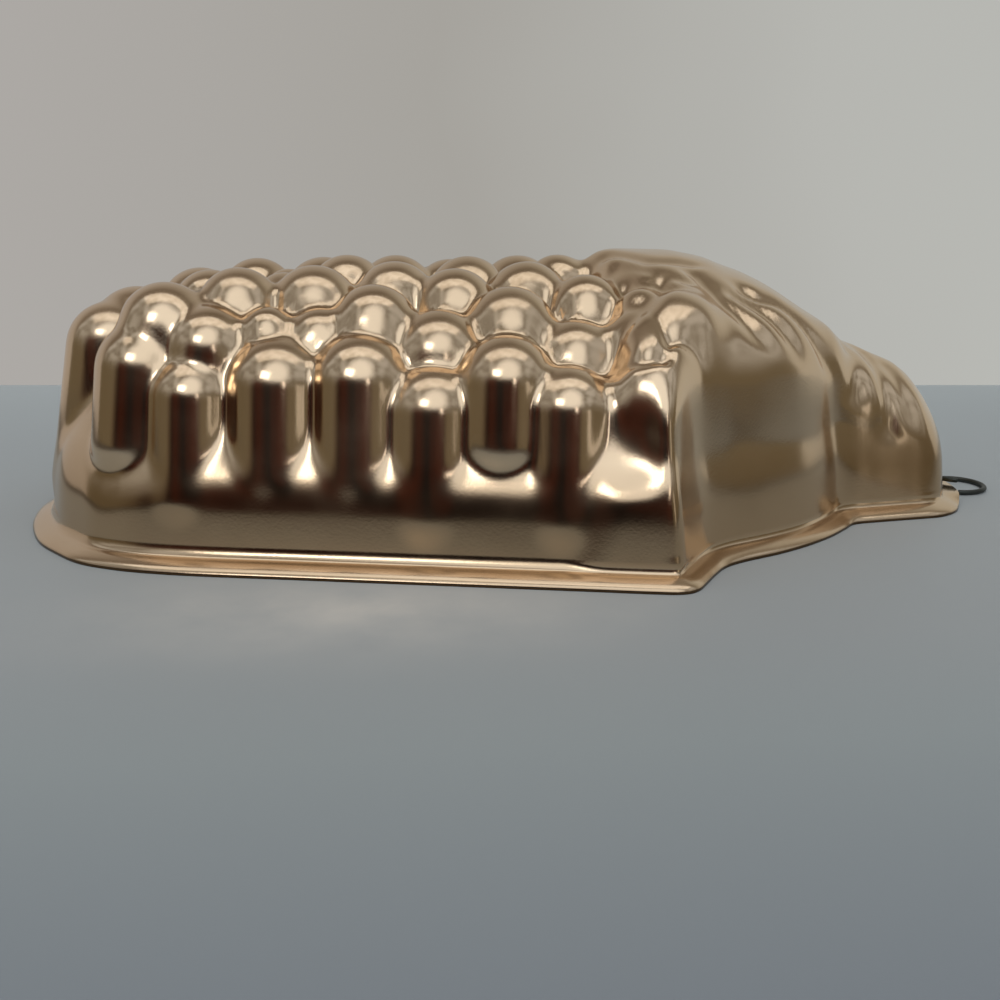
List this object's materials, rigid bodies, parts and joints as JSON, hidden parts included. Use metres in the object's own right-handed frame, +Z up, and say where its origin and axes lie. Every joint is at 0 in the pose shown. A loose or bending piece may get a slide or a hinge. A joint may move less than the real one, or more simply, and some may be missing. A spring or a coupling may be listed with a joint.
{
  "type": "cake mold",
  "caption": "Grape-cluster cake mold pressed from copper-tone aluminium sheet, dome up on its turned-down rim, with a wire hanging ring at the stem end.",
  "frame": {"origin": "on the table, in the middle of the whole length from the cluster's tip to the ring's far side, on the mold's axis of symmetry", "axes": "+X from the cluster's tip to the stem and the hanging ring, +Y across the mold, +Z up out of the dome's top"},
  "size_m": [0.2948, 0.17, 0.076],
  "materials": {
    "pressed_sheet": "satin copper-tone anodised sheet, plain aluminium inside",
    "ring_wire": "darkened steel wire"
  },
  "bodies": {
    "mold": {"mold_shell": "pressed_sheet"},
    "ring": {"hanging_ring": "ring_wire"}
  },
  "joints": [
    {"name": "ring_swing", "type": "hinge", "parent": "mold", "child": "ring", "pos_m": [0.12962, 0, 0], "axis": [0, 0, 1], "range_deg": [-50, 30]}
  ]
}
